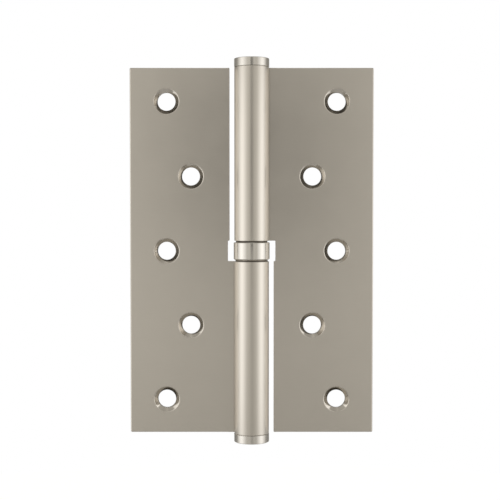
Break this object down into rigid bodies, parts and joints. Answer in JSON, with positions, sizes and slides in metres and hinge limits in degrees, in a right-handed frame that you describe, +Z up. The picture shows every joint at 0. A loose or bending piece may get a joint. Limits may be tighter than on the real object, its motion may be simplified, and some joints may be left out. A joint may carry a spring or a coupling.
{
  "type": "lift-off butt hinge",
  "caption": "Lift-off butt hinge with two flat countersunk leaves, a ball thrust bearing between the knuckles and flat end caps.",
  "frame": {"origin": "on the pin axis at mid height, the centre of the opened hinge", "axes": "+Z up along the pin, +X from the pin towards the door leaf, +Y from the countersunk faces towards the faces that lie on the frame and the door, with the hinge opened flat"},
  "size_m": [0.1, 0.0148, 0.157],
  "materials": {
    "leaf_steel": "satin nickel plated steel, faint brushing along the width",
    "cap_steel": "turned, polished nickel plate",
    "ring_steel": "turned, polished nickel plate",
    "race_steel": "hardened steel, dark in the grooves",
    "pin_steel": "ground steel",
    "ball_steel": "polished bearing steel",
    "cage_brass": "stamped brass"
  },
  "bodies": {
    "frame_side": {"frame_leaf": "leaf_steel", "hinge_pin": "pin_steel", "bottom_cap": "cap_steel", "lower_race": "race_steel", "bearing_shell": "ring_steel"},
    "turning_race": {"upper_race": "race_steel"},
    "door_side": {"door_leaf": "leaf_steel", "top_cap": "cap_steel"},
    "ball_set": {"ball_cage": "cage_brass", "ball_01": "ball_steel", "ball_02": "ball_steel", "ball_03": "ball_steel", "ball_04": "ball_steel", "ball_05": "ball_steel", "ball_06": "ball_steel", "ball_07": "ball_steel", "ball_08": "ball_steel", "ball_09": "ball_steel", "ball_10": "ball_steel", "ball_11": "ball_steel", "ball_12": "ball_steel"}
  },
  "joints": [
    {"name": "swing", "type": "hinge", "parent": "frame_side", "child": "turning_race", "pos_m": [0, 0, 0], "axis": [0, 0, 1], "range_deg": [-180, 125]},
    {"name": "lift_off", "type": "slide", "parent": "turning_race", "child": "door_side", "axis": [0, 0, 1], "range_m": [0, 0.048]},
    {"name": "cage_turn", "type": "hinge", "parent": "frame_side", "child": "ball_set", "pos_m": [0, 0, 0], "axis": [0, 0, 1], "range_deg": [-90, 62.5]}
  ],
  "couplings": [
    {"joint": "cage_turn", "follows": "swing", "ratio": 0.5}
  ]
}
